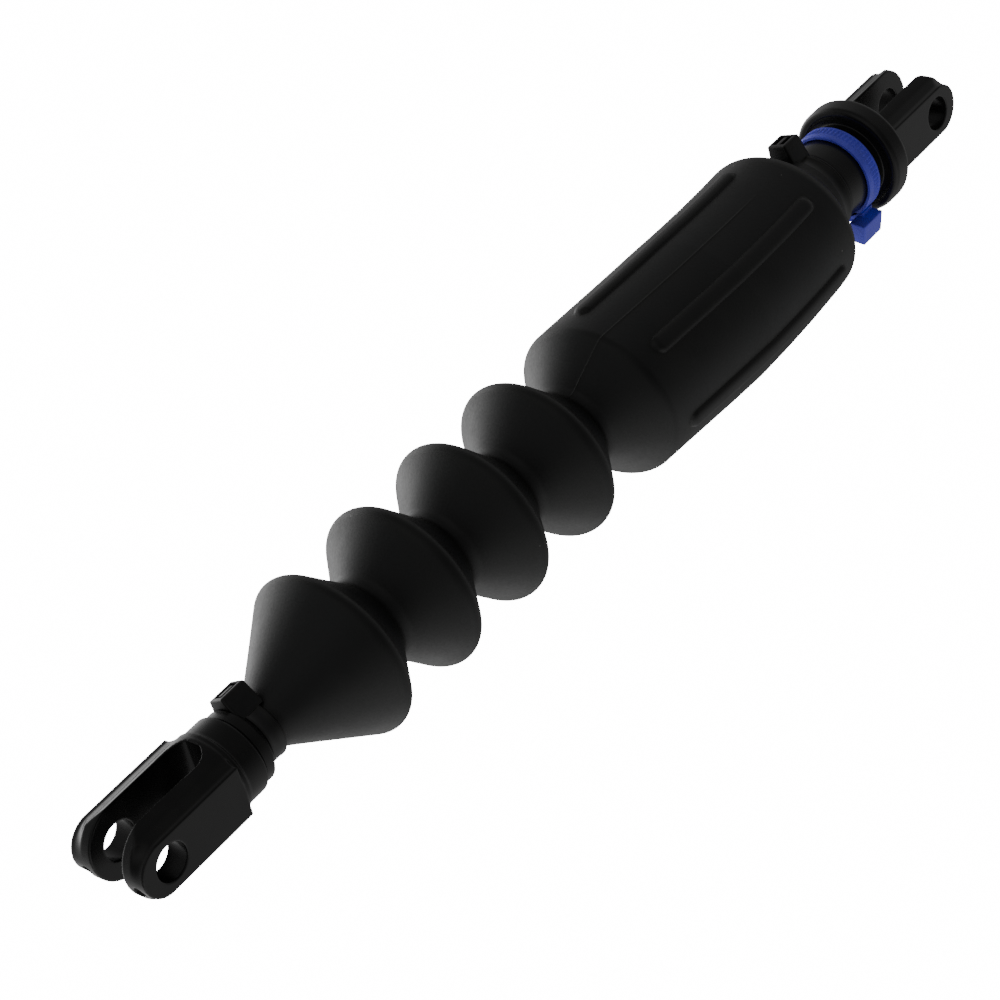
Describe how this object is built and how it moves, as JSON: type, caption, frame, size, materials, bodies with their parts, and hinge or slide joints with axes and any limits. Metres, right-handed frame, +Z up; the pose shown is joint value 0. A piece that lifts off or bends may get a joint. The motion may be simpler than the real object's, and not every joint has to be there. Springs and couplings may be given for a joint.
{
  "type": "rear shock absorber",
  "caption": "Coil-sprung rear shock absorber with forked ends, a pleated rubber bellows boot with a ribbed barrel, and cable ties round its collars.",
  "frame": {"origin": "centre of the lower fork's pin bore, midway between its two ears", "axes": "+X along the shock to the upper fork, Y along both pin bores, +Z up"},
  "size_m": [0.3094, 0.0418, 0.0418],
  "materials": {
    "fork_plastic": "satin moulded black plastic with a faint grain",
    "boot_rubber": "matte black moulded rubber",
    "black_tie": "semi-gloss black nylon",
    "blue_tie": "satin blue nylon",
    "anodised_aluminium": "fine turned and clear anodised",
    "bright_steel": "ground and polished",
    "zinc_steel": "zinc plated",
    "spring_steel": "dark phosphated wire",
    "seat_plastic": "moulded acetal",
    "seal_rubber": "smooth black nitrile"
  },
  "bodies": {
    "upper_body": {"upper_clevis": "fork_plastic", "damper_tube": "anodised_aluminium", "end_plug": "anodised_aluminium", "end_plug_o_ring": "seal_rubber", "rod_guide": "anodised_aluminium", "guide_o_ring": "seal_rubber", "guide_circlip": "spring_steel", "rod_wiper": "seal_rubber", "rod_seal": "seal_rubber", "top_out_bumper": "seal_rubber", "upper_spring_seat": "seat_plastic", "coil_spring": "spring_steel", "boot_barrel": "boot_rubber", "boot_bellows": "boot_rubber", "upper_cable_tie": "black_tie", "marker_cable_tie": "blue_tie"},
    "sliding_seat": {"lower_spring_seat": "seat_plastic", "bump_stop": "seal_rubber"},
    "lower_end": {"lower_clevis": "fork_plastic", "piston_rod": "bright_steel", "rod_lock_nut": "zinc_steel", "boot_stop_ring": "fork_plastic", "boot_lower_cuff": "boot_rubber", "lower_cable_tie": "black_tie", "rod_circlip": "spring_steel", "thrust_washer": "seat_plastic", "rebound_shim": "spring_steel", "piston": "anodised_aluminium", "piston_ring": "seat_plastic", "compression_shim": "spring_steel", "piston_nut": "zinc_steel"}
  },
  "joints": [
    {"name": "shock_stroke", "type": "slide", "parent": "upper_body", "child": "sliding_seat", "axis": [1, 0, 0], "range_m": [0, 0.035], "stiffness_N_per_m": 11000, "deforming": ["coil_spring", "boot_bellows"]},
    {"name": "fork_swivel", "type": "hinge", "parent": "sliding_seat", "child": "lower_end", "pos_m": [0, 0, 0], "axis": [1, 0, 0], "range_deg": [-25, 25], "stiffness_Nm_per_rad": 0.2}
  ]
}
